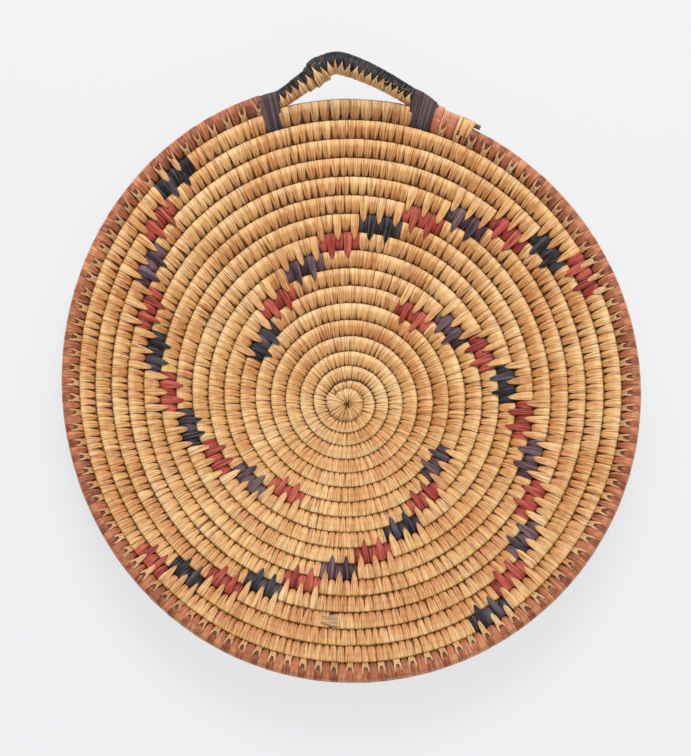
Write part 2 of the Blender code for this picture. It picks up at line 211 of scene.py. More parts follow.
def handle_reach(turn):
    """How far the handle's middle lies from the middle of the row inside it."""
    return solid_size(turn - 1) + ROW_GAP + handle_size(turn) + arch(along_arch(turn))


def handle(turn):
    """The same of the handle as rows gives of the rows."""
    turn = np.asarray(turn, float)
    middle, out, rise, _, _ = rows(turn - 1)
    along = along_arch(turn)
    step = 1 / HANDLE_STEPS
    run = 2 * np.pi * row_radius(turn) * (ARCH_STOP - ARCH_START) * 2 * step
    lean = np.arctan((arch(along + step) - arch(along - step)) / run)[..., None]
    side = out * np.cos(lean) - np.cross(out, rise) * np.sin(lean)
    own = handle_size(turn) - STRAND
    return middle + out * handle_reach(turn)[..., None], side, rise, own, own


def coil_of(turns):
    """Rows and handle as one coil."""
    row, loop = rows(np.minimum(turns, RIM_STOP)), handle(np.maximum(turns, RIM_STOP))
    later = turns > RIM_STOP
    return [np.where(later[:, None] if a.ndim > 1 else later, b, a) for a, b in zip(row, loop)]


class Value:
    """A socket of a finish. A sum written with it adds its Math nodes."""
    def __init__(self, finish, socket):
        self.finish = finish
        self.socket = socket

    def math(self, operation, *others):
        values = dict(enumerate((self,) + others))
        return self.finish.node("ShaderNodeMath", {"operation": operation}, values)

    def __add__(self, other):
        return self.math("ADD", other)

    def __sub__(self, other):
        return self.math("SUBTRACT", other)

    def __mul__(self, other):
        return self.math("MULTIPLY", other)

    def __pow__(self, other):
        return self.math("POWER", other)

    def __abs__(self):
        return self.math("ABSOLUTE")

    def __rsub__(self, other):
        return self * -1 + other

    __radd__ = __add__
    __rmul__ = __mul__

    def between(self, low, high):
        values = {"Value": self, "From Min": low, "From Max": high}
        return self.finish.node("ShaderNodeMapRange", {"clamp": True}, values)


class Finish:
    """One material and its nodes."""
    def __init__(self, name, roughness):
        self.material = bpy.data.materials.new(name)
        self.material.use_nodes = True
        self.tree = self.material.node_tree
        self.shader = self.tree.nodes["Principled BSDF"]
        self.shader.inputs["Roughness"].default_value = roughness

    def node(self, kind, settings, values, output=0):
        made = self.tree.nodes.new(kind)
        for name, setting in settings.items():
            setattr(made, name, setting)
        for name, value in values.items():
            if isinstance(value, Value):
                self.tree.links.new(value.socket, made.inputs[name])
            else:
                made.inputs[name].default_value = value
        return Value(self, made.outputs[output])

    def across_and_along(self):
        """Where a place lies across and along its strand."""
        uv = self.node("ShaderNodeUVMap", {"uv_map": "strand"}, {})
        return [self.node("ShaderNodeSeparateXYZ", {}, {"Vector": uv}, axis) for axis in "XY"]

    def vector(self, x, y, z):
        return self.node("ShaderNodeCombineXYZ", {}, {"X": x, "Y": y, "Z": z})

    def noise(self, place, scale, detail, rough=0.5):
        values = {"Vector": place, "Scale": scale, "Detail": detail, "Roughness": rough}
        return self.node("ShaderNodeTexNoise", {}, values)

    def blend(self, share, low, high):
        return self.node("ShaderNodeMix", {"data_type": "RGBA"}, {0: share, 6: low, 7: high}, 2)

    def use(self, **values):
        for name, value in values.items():
            self.tree.links.new(value.socket, self.shader.inputs[name.replace("_", " ")])

    def ridges(self, height, distance):
        values = {"Strength": BUMP_STRENGTH, "Distance": distance, "Height": height}
        self.use(Normal=self.node("ShaderNodeBump", {}, values))


def colour(red, green, blue):
    """A colour written as it looks, 0 to 255, turned into light."""
    def light(level):
        level /= 255
        return level / 12.92 if level <= 0.04045 else ((level + 0.055) / 1.055) ** 2.4
    return (light(red), light(green), light(blue), 1.0)


def stems():
    finish = Finish("bundle_of_stems", 0.85)
    across, along = finish.across_and_along()
    stem = finish.noise(finish.vector(across * STEMS_ACROSS, along * STEMS_ALONG, 0.0), 1.0, 3.0)
    mixed = finish.blend(stem.between(*STEM_CONTRAST), colour(*DARK_STEM), colour(*PALE_STEM))
    finish.use(Base_Color=mixed)
    finish.ridges(stem, STEM_RIDGE)
    return finish.material


BUNDLE = stems()


def select_where(model, kind, test):
    """In edit mode, selects the corners or the edges whose places pass the test."""
    mesh = bmesh.from_edit_mesh(model.data)
    mesh.select_mode = {"VERT"} if kind == "verts" else {"EDGE"}
    for item in [*mesh.verts, *mesh.edges, *mesh.faces]:
        item.select = False
    for item in getattr(mesh, kind):
        places = [item.co] if kind == "verts" else [v.co for v in item.verts]
        item.select = test(*places)
    mesh.select_flush_mode()
    bmesh.update_edit_mesh(model.data)


def onto_the_bench(sides, radius, middle, turned, axis, cuts):
    """A round bar one long, in edit mode, cut across that many times at even steps."""
    bpy.ops.object.select_all(action="DESELECT")
    bpy.ops.mesh.primitive_cylinder_add(vertices=sides, radius=radius, depth=1, location=middle,
                                        rotation=turned)
    model = bpy.context.object
    bpy.ops.object.transform_apply(location=True, rotation=True, scale=True)
    bpy.ops.object.mode_set(mode="EDIT")
    select_where(model, "edges", lambda a, b: abs(a[axis] - b[axis]) > 0.5)
    bpy.ops.mesh.subdivide(number_cuts=cuts)
    return model


def off_the_bench(model):
    """The corners and faces of a finished bench model, whose object isn't needed any more."""
    bpy.ops.object.mode_set(mode="OBJECT")
    points = np.array([tuple(v.co) for v in model.data.vertices])
    faces = [tuple(p.vertices) for p in model.data.polygons]
    bpy.data.objects.remove(model, do_unlink=True)
    return points, faces


def bar(sides, cuts):
    """A round bar along X from 0 to 1. A long one is cut twice, each part again."""
    model = onto_the_bench(sides, 1, (0.5, 0, 0), (0, math.pi / 2, 0), 0, min(cuts, MOST_CUTS))
    if cuts > MOST_CUTS:
        select_where(model, "edges", lambda a, b: abs(a.x - b.x) > 0.01)
        bpy.ops.mesh.subdivide(number_cuts=round(cuts / (MOST_CUTS + 1)) - 1)
    return off_the_bench(model)


def round_a_bar(points):
    return np.arctan2(points[:, 2], points[:, 1]) / (2 * np.pi) + 0.5


def add_object(name, data):
    """A new object in the scene."""
    made = bpy.data.objects.new(name, data)
    bpy.context.scene.collection.objects.link(made)
    return made


def piece_of(name, corners, faces, flat, tints, material):
    """A finished piece: flat is each corner's place on its strand, tints its strand's tone."""
    mesh = bpy.data.meshes.new(name)
    mesh.from_pydata([tuple(corner) for corner in corners], [], faces)
    layer = mesh.uv_layers.new(name="strand")
    index = np.empty(len(mesh.loops), np.int32)
    mesh.loops.foreach_get("vertex_index", index)
    layer.data.foreach_set("uv", flat[index].ravel().astype(np.float32))
    mesh.attributes.new("tint", "FLOAT", "POINT").data.foreach_set("value", tints.astype(np.float32))
    piece = add_object(name, mesh)
    bpy.ops.object.select_all(action="DESELECT")
    piece.select_set(True)
    bpy.context.view_layer.objects.active = piece
    bpy.ops.object.mode_set(mode="EDIT")
    bpy.ops.mesh.select_all(action="SELECT")
    bpy.ops.mesh.normals_make_consistent(inside=False)
    bpy.ops.object.mode_set(mode="OBJECT")
    bpy.ops.object.shade_smooth_by_angle(angle=SMOOTH_BELOW)
    piece.data.materials.append(material)
    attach(piece, "root")
    return piece


# On its inner side the bundle reaches, thinner, into the groove between two rows.
ROW_CUTS = (RIM_STOP - FIRST_TURN) * ROW_STEPS
points, faces = bar(BUNDLE_SIDES, ROW_CUTS + LOOP_STEPS)
loop_from = ROW_CUTS / (ROW_CUTS + LOOP_STEPS)
turns = np.interp(points[:, 0], [0, loop_from, 1], [FIRST_TURN, RIM_STOP, COIL_STOP])
middle, out, rise, wide, tall = coil_of(turns)
inner = (points[:, 1] < -0.01) & (turns > FILL_FROM) & (turns < RIM_STOP)
across = np.where(inner, wide + FILL_REACH, wide * BUNDLE_SHARE) * points[:, 1]
up = np.where(inner, FILL_HEIGHT, BUNDLE_SHARE) * tall * points[:, 2]
corners = middle + out * across[:, None] + rise * up[:, None]
around = np.stack([round_a_bar(points), turns], -1)
bundle = piece_of("coiled_bundle", corners, faces, around, np.zeros(len(points)), BUNDLE)
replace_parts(bundle, "grass_bundle")

# Straw stitches. Each is a flat strip split from a stem of grass. It comes up from the back, goes
# round the outside of its row and over the front, and dives between two stitches of the row inside
# it. Over a coloured block every other one is drawn long, so that straw and dye lock together.
SQUARENESS = 3.0
OUTLINE_POINTS = 48
ARC_POINTS = 40
RINGS = 10
RING_AT = [0, 0.10, 0.24, 0.37, 0.45, 0.53, 0.61, 0.72, 0.85, 0.94, 1]

# The levels of the six-sided bar's corners, how much broader each is made, and how far raised.
STRIP_LEVELS = ((-0.5 * HEX_FLAT, 1.92, 0.033), (0.0, 1.0, 0.62), (0.5 * HEX_FLAT, 1.4, 0.567))

# The strands' small faults, the sizes of the stitches, and how far and how deep they dive.
SNUG = 1.06
THICKNESSES = (0.8, 1.2)
WOBBLE = 0.03
WOBBLE_SHIFT = 3
SLIM_FROM = 0.62
SLIM_POWER = 1.2
SLIMMEST = 0.46
BUTTON_ROW = 0.6
SLIMMER_FROM, SLIMMER_OVER = 6, 7
FINE_STITCH = 0.0020
STITCH = 0.0040
GAP_STITCH = 0.0050
FULL_SIZE_TURNS = 7.5
CLOSER_BELOW = 0.13
UNEVEN = 0.18
TONE_SPREAD = 0.18
NEW_STRAND = 0.2
DIVE = 0.03
DIVE_SPREAD = 0.03
DRIFTS = (-0.10, 0.14)
BACK_DIVE = 0.02
GROOVE_LEVEL = 0.45
LONG_FROM = 0.3
LONG_PROUD = 0.3
LONG_REACH, LONG_LAY = 0.50, 0.00012
GAP_LAY = 0.0006
TUCK = 0.0012
RUN_TURNS, LEAST_RUN = 0.25, 0.03
SAME_TURN, SLIVER = 1e-9, 1e-4
ROWS_PER_PIECE = 2
BREAK_MARGIN = 0.003
RIM_TURN = 16
BLOCK_LAP = 1.07
BLOCK_STITCHES = 5

# Each arm: angle and length of its outermost block, length of its innermost, and the dyes inwards.
ARMS = {
    "upper": (382.6, 0.0212, 0.0203, "red black red purple red black red purple red black"),
    "left": (123.5, 0.0214, 0.0180, "black red purple red black red black red purple red"),
    "bottom": (216.7, 0.0173, 0.0182, "red black red black red purple red black red purple"),
    "right": (297.7, 0.0197, 0.0191, "black red purple red purple red black red purple red"),
}
MEND_MIDDLE = 13.261
MEND_LENGTH = 0.0055

# What a strand of grass looks like: how many fibres lie across it, and the stretches of noise, or
# of its way from the back tip to the front tip, over which each change of tone comes in.
SEED_SPREAD = 91
PATCH_SCALE = 38.0
FIBRES_ACROSS, THREADS_ACROSS = 6.5, 16
FIBRE_RIDGE = 0.00022
PATCHES = (0.36, 0.64)
FIBRE_LINES, THREAD_LINES = (0.5, 0.32), (0.47, 0.3)
BROWNER_FROM = (0.69, 0.76)
MIDDLE_TO_OUTER = (0.01, 0.09)
MIDDLE_PALER = 0.24
SIDE_POWER = 12
TIP = (0.8, 1.0)
WORN_FIBRES = (0.54, 0.68)
# The stretch round a strand's outermost turn that is painted paler, a painted highlight.
EDGE_LIGHT_TURN = (0.11, 0.05)
# Where a strand is painted darker as shade, against the next row and where it dives, and the colour of that
# painted shade.
SIDE_SHADE, TIP_SHADE = (0.088, 0.06), (0.45, 0.49)
GROOVE_SHADE_COLOUR = colour(74, 34, 5)


def grass(name, tones, patches=0.3, fibres=0.9, roughness=0.5, browner=0.0, sides=0.0, ends=0.0,
          edge_light=0.0, gloss=0.4):
    """A split strand: tones are its pale, middle and deep colours and the colour of its edges.

    patches and fibres say how much its tone changes from place to place and from fibre to fibre,
    browner how far it darkens inwards, partly its own browner tone and partly painted shade, sides
    and ends how dark the painted shade is where it lies against the next row and where it dives,
    and the next how much paler it is painted where it turns outwards, a painted highlight."""
    pale, middle, deep, edge = [colour(*tone) for tone in tones]
    finish = Finish(name, roughness)
    finish.shader.inputs["Specular IOR Level"].default_value = gloss
    across, along = finish.across_and_along()
    tint = finish.node("ShaderNodeAttribute", {"attribute_name": "tint"}, {}, "Fac")
    seed = tint * SEED_SPREAD
    place = finish.node("ShaderNodeTexCoord", {}, {}, "Object")
    patch = finish.noise(place, PATCH_SCALE, 3.0)
    blotch = finish.noise(finish.vector(across * 1.2, along * 3.0, seed), 1.6, 2.0)
    fibre = finish.noise(finish.vector(across * FIBRES_ACROSS, along * 1.2, seed), 1.0, 3.0, 0.6)
    thread = finish.noise(finish.vector(across * THREADS_ACROSS, along * 2.4, seed), 1.0, 2.0)
    # Darker towards the inner tip: partly the strand's own browner tone, partly painted shade where the row
    # curves down to the groove.
    inward = (along + (blotch - 0.5) * 0.08).between(*BROWNER_FROM) * browner
    off_middle = finish.node("ShaderNodeVectorMath", {"operation": "LENGTH"}, {0: place}, "Value")
    outer_rows = off_middle.between(*MIDDLE_TO_OUTER)
    depth = tint * (0.8 - patches) + patch.between(*PATCHES) * patches + (blotch - 0.5) * 0.5
    # The middle of the tray is painted paler than the outer rows: painted light where the middle of the dish
    # gets less light.
    depth = depth + inward + (outer_rows - 1) * MIDDLE_PALER
    low = finish.blend(depth.between(0.0, 0.5), pale, middle)
    strand = finish.blend(depth.between(0.5, 1.0), low, deep)
    rim = abs(across - 0.5) * 2
    lines = fibre.between(*FIBRE_LINES) * 0.7 + thread.between(*THREAD_LINES) * 0.6
    # Fibre lines, and painted shade along the strand's edges, where it meets the next stitch, and towards its
    # tip, where it dives.
    grain_and_shade = (rim ** SIDE_POWER) * 0.35 + lines * fibres + along.between(*TIP) ** 3 * 0.3
    painted = finish.blend(grain_and_shade.between(0.0, 1.0), strand, edge)
    from_side = abs(along - 0.5)
    # Pale fibres worn along the strand, and a painted highlight where it turns outwards.
    worn_and_lit = fibre.between(*WORN_FIBRES) * fibres * 0.75 + from_side.between(*EDGE_LIGHT_TURN) * edge_light
    # Painted shade in the grooves: darker where the strand lies against the next row, more so in the outer
    # rows, and where it dives, most at its edges.
    groove_shade = from_side.between(*SIDE_SHADE) * sides * (outer_rows * 0.6 + 0.4)
    groove_shade = groove_shade + from_side.between(*TIP_SHADE) * ends
    groove_shade = groove_shade * ((rim ** 2) * 0.5 + 0.5)
    worn_and_lit_strand = finish.blend(worn_and_lit, painted, pale)
    finish.use(Base_Color=finish.blend(groove_shade, worn_and_lit_strand, GROOVE_SHADE_COLOUR))
    finish.use(Roughness=roughness + (fibre - 0.5) * 0.35)
    finish.ridges(fibre * 0.65 + thread * 0.35, FIBRE_RIDGE)
    return finish.material


STRAW_TONES = ((250, 211, 153), (234, 179, 112), (206, 134, 72), (124, 64, 20))
# The row under the handle is darker straw: painted shade under the handle's arch.
GAP_TONES = ((226, 184, 128), (204, 152, 96), (178, 116, 66), (104, 60, 28))
STRAW = grass("split_straw", STRAW_TONES, patches=0.35, fibres=1.05, roughness=0.46, browner=0.4,
              sides=1.0, ends=1.0)
LONG_STRAW = grass("split_straw_drawn_long", STRAW_TONES, patches=0.35, fibres=1.05, roughness=0.46,
                   browner=0.3, ends=0.8)
GAP_STRAW = grass("split_straw_under_handle", GAP_TONES, patches=0.35, fibres=1.0, browner=0.4,
                  sides=1.0, ends=1.0)
picks = random.Random(11)


def either_way(most):
    return picks.uniform(-most, most)


def outline(angle, wide, tall, squareness=SQUARENESS):
    """Places on the outline of the bundle across the coil, as (out, up)."""
    across = np.sign(np.cos(angle)) * np.abs(np.cos(angle)) ** (2 / squareness)
    up = np.sign(np.sin(angle)) * np.abs(np.sin(angle)) ** (2 / squareness)
    return np.stack([wide * across, tall * up], -1)


def oval(wide, tall, squareness=SQUARENESS):
    """The whole outline."""
    return outline(np.linspace(0, 2 * np.pi, OUTLINE_POINTS, endpoint=False), wide, tall, squareness)


def height_at(share):
    """How high the outline stands at a share of its half width."""
    return (1 - np.minimum(1, abs(share)) ** SQUARENESS) ** (1 / SQUARENESS)


def flat_strand(widths):
    """A strip across X from -0.5 to 0.5, along Y from 0 to 1 and flat on top at Z = 1.

    A six-sided bar is flattened at the levels of its corners, then given its width at each ring."""
    strand = onto_the_bench(6, 0.5, (0, 0.5, 0), (math.pi / 2, math.pi / 6, 0), 1, RINGS - 1)
    for level, broader, raised in STRIP_LEVELS:
        select_where(strand, "verts", lambda co: abs(co.z - level) < 0.02)
        bpy.ops.transform.resize(value=(broader, 1, 1), center_override=(0, 0, 0))
        bpy.ops.transform.translate(value=(0, 0, raised))
    for ring, width in enumerate(widths):
        select_where(strand, "verts", lambda co: abs(co.y - ring / RINGS) < 0.01)
        bpy.ops.transform.resize(value=(width * SNUG, 1, 1), center_override=(0, 0, 0))
    return off_the_bench(strand)


PLAIN = flat_strand([0.6, 0.85, 0.95, 0.92, 0.88, 0.92, 1, 1.02, 1, 0.88, 0.6])
LONG = flat_strand([0.6, 0.85, 0.95, 0.9, 0.84, 0.88, 1, 0.96, 0.82, 0.55, 0.16])


def way(chain):
    """The places of a strand's rings along a chain of points, and which way is outwards there."""
    chain = np.asarray(chain, float)
    lengths = np.concatenate([[0], np.cumsum(np.linalg.norm(np.diff(chain, axis=0), axis=1))])
    at = np.array(RING_AT) * lengths[-1]
    places = np.stack([np.interp(at, lengths, chain[:, 0]), np.interp(at, lengths, chain[:, 1])], -1)
    ahead = np.gradient(places, axis=0)
    ahead /= np.linalg.norm(ahead, axis=1)[:, None]
    return places, np.stack([ahead[:, 1], -ahead[:, 0]], -1)


def pulled_tight(outlines, back_tip, front_tip):
    """The way of a strand pulled tight round outlines, from one tip to the other."""
    places = [tuple(place) for place in outlines] + [tuple(back_tip), tuple(front_tip)]
    hull = convex_hull_2d(places)
    chain = [places[index] for index in hull]
    start = hull.index(len(places) - 2) if len(places) - 2 in hull else 0
    chain = chain[start:] + chain[:start]
    if len(places) - 1 in hull and chain[1] == places[-1]:
        chain = [chain[0]] + chain[:0:-1]
    return way(chain)


def tips(wide, tall, front, back=BACK_DIVE):
    """Where a stitch dives at the back and at the front, that far into the row inside, in row widths.

    A short stitch dives into the groove between the rows, a long one lies over the row inside."""
    row = wide + STRAND
    front_up = tall * GROOVE_LEVEL
    if front > LONG_FROM:
        front_up = height_at(2 * front - 1) * (tall + STRAND) + STRAND * LONG_PROUD
    return (-row * (1 + 2 * back), -tall * GROOVE_LEVEL), (-row * (1 + 2 * front), front_up)


def section(first, last):
    """Half width and half height of the row at a stitch."""
    _, _, _, wide, tall = rows((first + last) / 2)
    return wide, tall


def over_row(first, last, front):
    """The way over a row at this place, diving at the share front of the row inside it."""
    wide, tall = section(first, last)
    back_tip, front_tip = tips(wide, tall, front)
    return pulled_tight(oval(wide, tall), back_tip, front_tip)


class Stitch:
    """One strand in place: where it lies along the coil, its way round it, and its own small faults."""
    def __init__(self, first, last, route, tint=None, thick=STRAND, drift=0.0, offset=0.0, lay=0.0,
                 slim=0.0):
        self.first = first
        self.last = last
        self.places, self.normals = route
        self.tint = picks.random() if tint is None else tint
        self.thick = thick * picks.uniform(*THICKNESSES)
        self.drift = drift
        wobble = np.array([either_way(WOBBLE) for _ in RING_AT])
        self.offset = wobble + offset
        towards_tip = np.clip((np.array(RING_AT) - SLIM_FROM) / (1 - SLIM_FROM), 0, 1)
        self.widths = 1 - slim * towards_tip ** SLIM_POWER + np.roll(wobble, WOBBLE_SHIFT)
        self.lay = lay


def faces_of_copies(faces, corners, copies):
    """The faces of a shape with that many corners, for each of its copies in one mesh."""
    return [tuple(v + corners * k for v in face) for k in range(copies) for face in faces]


def sewn(name, template, stitches, material, slot, station=rows):
    """All the stitches of one piece, laid on the coil as one mesh."""
    points, faces = template
    ring = np.rint(points[:, 1] * RINGS).astype(int)
    lean = np.array(RING_AT) - 0.5
    turns, outs, ups, tints = [], [], [], []
    for stitch in stitches:
        width = stitch.last - stitch.first
        middle = (stitch.first + stitch.last) / 2
        sideways = (stitch.offset + lean * stitch.drift)[ring] * width
        turns.append(middle + sideways + points[:, 0] * stitch.widths[ring] * width)
        away = points[:, 2] * stitch.thick + stitch.lay
        outs.append(stitch.places[ring, 0] + stitch.normals[ring, 0] * away)
        ups.append(stitch.places[ring, 1] + stitch.normals[ring, 1] * away)
        tints.append(np.full(len(points), stitch.tint))
    middle, out, rise, _, _ = station(np.concatenate(turns))
    corners = middle + out * np.concatenate(outs)[:, None] + rise * np.concatenate(ups)[:, None]
    every = faces_of_copies(faces, len(points), len(stitches))
    flat = np.tile(np.stack([points[:, 0] + 0.5, np.array(RING_AT)[ring]], -1), (len(stitches), 1))
    return piece_of(name, corners, every, flat, np.concatenate(tints), material)


def block_places():
    """Node, dye, first turn and last turn of each coloured block, from the rim inwards."""
    places = []
    for arm, (start, first_length, last_length, colours) in ARMS.items():
        names = colours.split()
        angle = start
        for k, dye in enumerate(names):
            length = first_length + (last_length - first_length) * k / (len(names) - 1)
            turn = RIM_TURN - k - angle / 360
            width = turns_across(length, turn)
            places.append(("%s_arm_block_%02d_%s" % (arm, k + 1, dye), dye, turn - width, turn))
            angle += 360 * width / BLOCK_LAP
    return places


BLOCKS = block_places()
DYED_SPANS = [(first, last) for _, _, first, last in BLOCKS]
HALF_MEND = turns_across(MEND_LENGTH, MEND_MIDDLE) / 2
MEND = (MEND_MIDDLE - HALF_MEND, MEND_MIDDLE + HALF_MEND)


def shadows():
    """Places over a block on the row outside it, cut short where the next block begins."""
    places = []
    for first, last in DYED_SPANS:
        first, last = first + 1, last + 1
        for other_first, other_last in DYED_SPANS:
            if first < other_last < last and other_first < first:
                first = other_last
            if first < other_first < last and other_last > last:
                last = other_first
        places.append((first, last))
    return places


def stitch_size(turn):
    full = STITCH * (1 - CLOSER_BELOW * max(0, math.sin(2 * math.pi * turn)))
    share = (turn - FIRST_TURN) / FULL_SIZE_TURNS
    return FINE_STITCH + (full - FINE_STITCH) * float(smooth(0, 1, share))


def even_spans(first, last, count):
    edges = np.linspace(first, last, count + 1)
    return list(zip(edges, edges[1:]))


def spread(first, last, length):
    """Handmade stitches side by side from one turn to another."""
    count = max(1, round((last - first) / turns_across(length, (first + last) / 2)))
    step = (last - first) / count
    inner = [first + step * (k + either_way(UNEVEN)) for k in range(1, count)]
    return list(zip([first] + inner, inner + [last]))


def straw_between(first, last):
    """Plain and long straw stitches of a stretch, in order, leaving out what is dyed or mended."""
    marks = [(*span, "dyed") for span in DYED_SPANS] + [(*MEND, "mended")]
    marks += [(*span, "over") for span in shadows()]
    plain, drawn = [], []
    at = first
    for start, stop, kind in sorted(marks) + [(last, last, "end")]:
        if start < first - SAME_TURN or start > last:
            continue
        while at < start - SLIVER:
            run_end = min(start, at + RUN_TURNS)
            if start - run_end < LEAST_RUN:
                run_end = start
            plain += spread(at, run_end, stitch_size(at))
            at = run_end
        if kind == "over":
            for k, span in enumerate(even_spans(start, min(stop, last), BLOCK_STITCHES)):
                (plain if k % 2 else drawn).append(span)
        at = max(at, stop)
    return plain, drawn


def slim_share(turn):
    """How much stitches may narrow: fully round the button and in outer rows, half between."""
    return 1 if turn < BUTTON_ROW else float(smooth(0.5, 1, (turn - SLIMMER_FROM) / SLIMMER_OVER))


def loose(first, last, front, **extra):
    """A stitch over its row, with the small changes of reach, taper and lean that a hand makes."""
    reach = front + either_way(DIVE_SPREAD)
    slim = picks.uniform(0.0, SLIMMEST) * slim_share(first)
    drift = picks.uniform(*DRIFTS)
    return Stitch(first, last, over_row(first, last, reach), drift=drift, slim=slim, **extra)


def strand_by_strand(spans, front):
    """Plain stitches in the order of sewing. One strand lasts for a few, which share its colour."""
    stitches = []
    for first, last in spans:
        if not stitches or picks.random() < NEW_STRAND:
            tone = picks.random()
        tint = min(1.0, max(0.0, tone + either_way(TONE_SPREAD)))
        stitches.append(loose(first, last, front, tint=tint))
    return stitches


def clear_of_blocks(turn):
    """The turn, moved on to just past a block or the mended place if it falls on one."""
    for first, last in sorted(DYED_SPANS + [MEND]):
        margin = turns_across(BREAK_MARGIN, turn)
        if first - margin < turn < last + margin:
            return last + margin
    return turn


GAP_ROW_START = RIM_STOP - 1
ROW_COUNT = math.ceil(GAP_ROW_START)
inner_breaks = [clear_of_blocks(GAP_ROW_START - (ROW_COUNT - row))
                for row in range(ROWS_PER_PIECE, ROW_COUNT, ROWS_PER_PIECE)]
breaks = [FIRST_TURN] + inner_breaks + [GAP_ROW_START]
for number, (first, last) in enumerate(zip(breaks, breaks[1:])):
    low = number * ROWS_PER_PIECE + 1
    high = min(ROW_COUNT, low + ROWS_PER_PIECE - 1)
    plain, drawn = straw_between(first, last)
    title = "%02d_%02d" % (low, high)
    sewing = sewn("straw_sewing_" + title, PLAIN, strand_by_strand(plain, DIVE), STRAW, "split_grass")
    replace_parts(sewing, "straw_stitches_rows_" + title)
    if drawn:
        long_stitches = [loose(a, b, LONG_REACH, lay=LONG_LAY) for a, b in drawn]
        sewn("straw_drawn_long_" + title, LONG, long_stitches, LONG_STRAW, "split_grass")
tucked = turns_across(TUCK, RIM_END)
gap_spans = spread(ARCH_START - 1 - tucked, ARCH_STOP - 1 + tucked, GAP_STITCH)
under = [loose(a, b, DIVE, lay=GAP_LAY) for a, b in gap_spans]
under_handle = sewn("straw_sewing_under_handle", PLAIN, under, GAP_STRAW, "split_grass")
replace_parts(under_handle, "straw_stitches_under_handle")

# Coloured blocks. Each is five stitches of dyed strand: the second and fourth reach down to the
# middle of the row inside, and long straw stitches from the row outside lie over the other three.
DYED_REACH, DYED_LAY = 0.46, 0.00015
RED_TONES = ((216, 106, 84), (172, 60, 46), (128, 34, 30), (52, 10, 8))
BLACK_TONES = ((104, 96, 102), (35, 32, 38), (15, 14, 18), (4, 3, 3))
PURPLE_TONES = ((140, 108, 112), (76, 54, 62), (42, 30, 38), (10, 6, 7))
RED = grass("red_dyed_grass", RED_TONES, patches=0.2, fibres=1.3, sides=0.4, ends=0.8, gloss=0.25)
BLACK = grass("black_dyed_grass", BLACK_TONES, fibres=1.3, gloss=0.2)
PURPLE = grass("purple_dyed_grass", PURPLE_TONES, fibres=1.3, gloss=0.2)
DYED = {"red": RED, "black": BLACK, "purple": PURPLE}
for node, dye, first, last in BLOCKS:
    spans = even_spans(first, last, BLOCK_STITCHES)
    short = [loose(a, b, DIVE) for a, b in spans[::2]]
    drawn = [loose(a, b, DYED_REACH, lay=DYED_LAY) for a, b in spans[1::2]]
    block = sewn("dyed_" + node, PLAIN, short, DYED[dye], dye + "_grass")
    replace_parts(block, node)
    sewn("dyed_long_" + node, LONG, drawn, DYED[dye], dye + "_grass")

# Mended place. A few stitches wore away near the bottom. The stems of the bundle lie bare on the
# front there, greyed, and an old strand holds them round the back.
MEND_STITCH = 0.0027
MEND_ROUND = (-165, 35)
OLD_STRAND = 0.0014
STEM_RADIUS = 0.00036
STEM_COUNT = 15
STEM_SIDES, STEM_CUTS = 6, 7
STARTS_BEFORE, ENDS_AFTER = (0, 0.0012), (-0.0004, 0.0035)
FAN_REACH = 0.95
FAN_UNEVEN, FAN_CLOSES, FAN_LEANS = 0.3, 0.45, 0.1
LOWEST, END_LIFTS = 0.95, 0.16
STEM_SHARE = 0.5
MEND_TONES = ((232, 196, 150), (196, 156, 114), (136, 102, 76), (84, 54, 34))
MEND_GREY = grass("greyed_grass", MEND_TONES, patches=0.1, fibres=0.8, roughness=0.8)


def round_part(first, last, start, stop):
    """The way of a strand round part of its row, from one angle in degrees to another."""
    wide, tall = section(first, last)
    return way(outline(np.radians(np.linspace(start, stop, ARC_POINTS)), wide, tall))


def thin_rods(name, bench, rods, share, material):
    """Thin stems or fibres, each a bar bent its own way with its own tone, as one piece."""
    points, faces = bench
    flat = np.tile(np.stack([round_a_bar(points), points[:, 0] * share], -1), (len(rods), 1))
    every = faces_of_copies(faces, len(points), len(rods))
    tints = np.repeat([tint for _, tint in rods], len(points))
    piece_of(name, np.concatenate([rod for rod, _ in rods]), every, flat, tints, material)


mended = []
for first, last in spread(*MEND, MEND_STITCH):
    mended.append(Stitch(first, last, round_part(first, last, *MEND_ROUND)))
mended.append(loose(MEND[1] - turns_across(OLD_STRAND, MEND[1]), MEND[1], DIVE, tint=0.0))
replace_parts(sewn("mended_sewing", PLAIN, mended, MEND_GREY, "mended_grass"), "mended_stitches")
bench = bar(STEM_SIDES, STEM_CUTS)
along, level, upright = bench[0].T
bare_stems = []
for number in range(STEM_COUNT):
    first = MEND[0] - picks.uniform(*STARTS_BEFORE)
    last = MEND[1] + picks.uniform(*ENDS_AFTER)
    middle, out, rise, wide, tall = rows(first + along * (last - first))
    side = FAN_REACH * (2 * (number + 0.5 + either_way(FAN_UNEVEN)) / STEM_COUNT - 1)
    side = np.clip(side * (1.0 - FAN_CLOSES * along) + FAN_LEANS * along, -FAN_REACH, FAN_REACH)
    share = picks.uniform(LOWEST, 1.0) + picks.uniform(0, END_LIFTS) * along ** 2
    up = height_at(side) * tall * share
    stem = (middle + out * (side * wide + level * STEM_RADIUS)[:, None]
            + rise * (up + upright * STEM_RADIUS)[:, None])
    bare_stems.append((stem, picks.random()))
thin_rods("mended_bare_stems", bench, bare_stems, STEM_SHARE, MEND_GREY)

